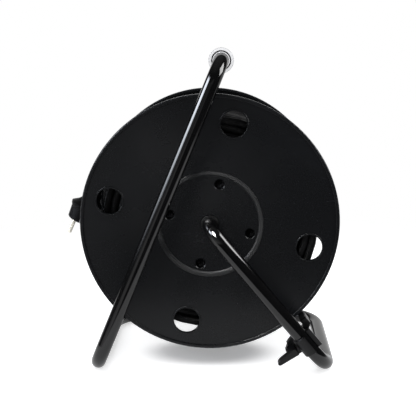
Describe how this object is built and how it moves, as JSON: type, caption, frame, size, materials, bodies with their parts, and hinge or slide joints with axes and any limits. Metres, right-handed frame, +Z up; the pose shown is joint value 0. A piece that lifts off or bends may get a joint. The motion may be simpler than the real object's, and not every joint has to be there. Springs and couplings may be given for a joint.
{
  "type": "extension cord reel",
  "caption": "Extension cord reel: plastic drum with cord and covered sockets, on one bent tube that is stand, axle and handle.",
  "frame": {"origin": "on the floor, under the middle of the reel's bounding box, the cord and plug left out", "axes": "+Z up, +Y from the open rear side to the socket side along the drum's axis, +X to the right seen from the rear"},
  "size_m": [0.3105, 0.234, 0.3607],
  "materials": {
    "frame_tube": "gloss black powder coat on steel tube",
    "grip": "light grey moulded sleeve",
    "end_cap": "black plastic cap",
    "zinc_steel": "zinc plated",
    "drum_plastic": "satin near-black moulded plastic",
    "bush_nylon": "dark nylon",
    "panel_plastic": "satin black moulded plastic",
    "lid_plastic": "satin black moulded plastic",
    "contact_brass": "bare brass",
    "plug_pins": "nickel plated brass",
    "reset_button": "red moulded plastic",
    "terminal_block": "off-white nylon",
    "live_wire": "brown insulation",
    "neutral_wire": "blue insulation",
    "earth_wire": "green and yellow insulation",
    "cord_rubber": "black rubber sheath",
    "handle_plastic": "black moulded plastic",
    "pad_rubber": "black rubber"
  },
  "bodies": {
    "frame": {"frame_tube": "frame_tube", "handle_grip": "grip", "grip_end_ring": "grip", "handle_end_cap": "end_cap", "axle_insert": "zinc_steel", "axle_washer": "zinc_steel", "axle_bolt": "zinc_steel", "thrust_ring": "zinc_steel", "brake_clip": "handle_plastic", "brake_pin": "zinc_steel"},
    "brake": {"brake_lever": "handle_plastic", "brake_pad": "pad_rubber"},
    "drum": {"rear_flange": "drum_plastic", "drum_core": "drum_plastic", "front_flange": "drum_plastic", "rear_bush": "bush_nylon", "inner_bush": "bush_nylon", "flange_screws": "zinc_steel", "socket_panel": "panel_plastic", "panel_screws": "zinc_steel", "socket_1": "panel_plastic", "socket_2": "panel_plastic", "socket_3": "panel_plastic", "socket_4": "panel_plastic", "contact_sleeves": "contact_brass", "earth_strips": "contact_brass", "hinge_pins": "zinc_steel", "thermal_cut_out": "panel_plastic", "reset_spring": "zinc_steel", "terminal_block": "terminal_block", "live_wire": "live_wire", "neutral_wire": "neutral_wire", "earth_wire": "earth_wire", "cord_gland": "cord_rubber", "crank_spindle": "handle_plastic", "cord_winding": "cord_rubber", "cord_lead": "cord_rubber", "plug_body": "cord_rubber", "plug_pins": "plug_pins", "plug_earth_strips": "contact_brass", "plug_strain_relief": "cord_rubber"},
    "button": {"reset_button": "reset_button"},
    "knob": {"crank_knob": "handle_plastic"},
    "lid_1": {"lid_1": "lid_plastic"},
    "lid_2": {"lid_2": "lid_plastic"},
    "lid_3": {"lid_3": "lid_plastic"},
    "lid_4": {"lid_4": "lid_plastic"}
  },
  "joints": [
    {"name": "drum_spin", "type": "hinge", "parent": "frame", "child": "drum", "pos_m": [-0.0007, -0.07845, 0.167], "axis": [0, 1, 0], "continuous": true},
    {"name": "brake_swing", "type": "hinge", "parent": "frame", "child": "brake", "pos_m": [0.10497, -0.08845, 0.04027], "axis": [0, -1, 0], "range_deg": [-25, 8]},
    {"name": "reset_push", "type": "slide", "parent": "drum", "child": "button", "axis": [0, -1, 0], "range_m": [0, 0.0025], "stiffness_N_per_m": 600, "springref_m": -0.002, "deforming": ["reset_spring"]},
    {"name": "knob_spin", "type": "hinge", "parent": "drum", "child": "knob", "pos_m": [0.10831, 0.10155, 0.20667], "axis": [0, 1, 0], "continuous": true},
    {"name": "lid_1_lift", "type": "hinge", "parent": "drum", "child": "lid_1", "pos_m": [0.04781, 0.09415, 0.21551], "axis": [0.7071, 0, -0.7071], "range_deg": [0, 105], "stiffness_Nm_per_rad": 0.02, "springref_deg": -34.38},
    {"name": "lid_2_lift", "type": "hinge", "parent": "drum", "child": "lid_2", "pos_m": [-0.0492, 0.09415, 0.21551], "axis": [0.7071, 0, 0.7071], "range_deg": [0, 105], "stiffness_Nm_per_rad": 0.02, "springref_deg": -34.38},
    {"name": "lid_3_lift", "type": "hinge", "parent": "drum", "child": "lid_3", "pos_m": [-0.0492, 0.09415, 0.11849], "axis": [-0.7071, 0, 0.7071], "range_deg": [0, 105], "stiffness_Nm_per_rad": 0.02, "springref_deg": -34.38},
    {"name": "lid_4_lift", "type": "hinge", "parent": "drum", "child": "lid_4", "pos_m": [0.04781, 0.09415, 0.11849], "axis": [-0.7071, 0, -0.7071], "range_deg": [0, 105], "stiffness_Nm_per_rad": 0.02, "springref_deg": -34.38}
  ]
}
